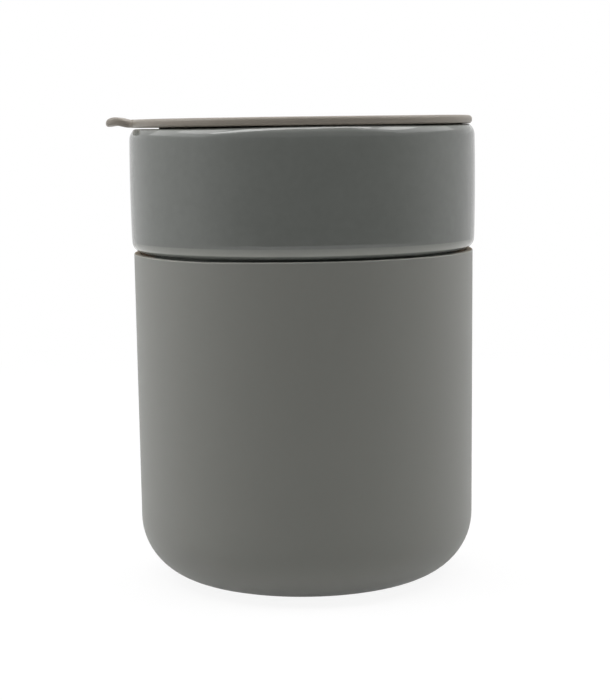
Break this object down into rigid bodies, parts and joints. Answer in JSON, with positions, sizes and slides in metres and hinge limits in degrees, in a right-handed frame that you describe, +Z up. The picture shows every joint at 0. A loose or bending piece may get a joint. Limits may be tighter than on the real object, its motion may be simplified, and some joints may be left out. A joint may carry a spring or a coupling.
{
  "type": "soup mug",
  "caption": "Lidded soup mug: a stepped glazed cup in a matt stretch sleeve with a rounded base, closed by a flat press-in lid with a wavy finger tab and a sealing ring.",
  "frame": {"origin": "centre of the flat underside of the sleeve, where the mug stands", "axes": "+Z up along the mug's axis, the lid's tab points to -X, and -Y is the side that faces the viewer in the picture"},
  "size_m": [0.1065, 0.1, 0.1344],
  "materials": {
    "glazed_stoneware": "smooth grey glaze, bare warm clay under the sleeve",
    "sleeve_silicone": "matt, soft touch",
    "lid_plastic": "satin, fine moulded grain",
    "gasket_silicone": "soft silicone"
  },
  "bodies": {
    "sleeve_body": {"silicone_sleeve": "sleeve_silicone"},
    "cup_body": {"ceramic_cup": "glazed_stoneware"},
    "lid_body": {"lid": "lid_plastic", "lid_gasket": "gasket_silicone"}
  },
  "joints": [
    {"name": "cup_lift", "type": "slide", "parent": "sleeve_body", "child": "cup_body", "axis": [0, 0, 1], "range_m": [0, 0.105]},
    {"name": "lid_lift", "type": "slide", "parent": "cup_body", "child": "lid_body", "axis": [0, 0, 1], "range_m": [0, 0.04]}
  ]
}
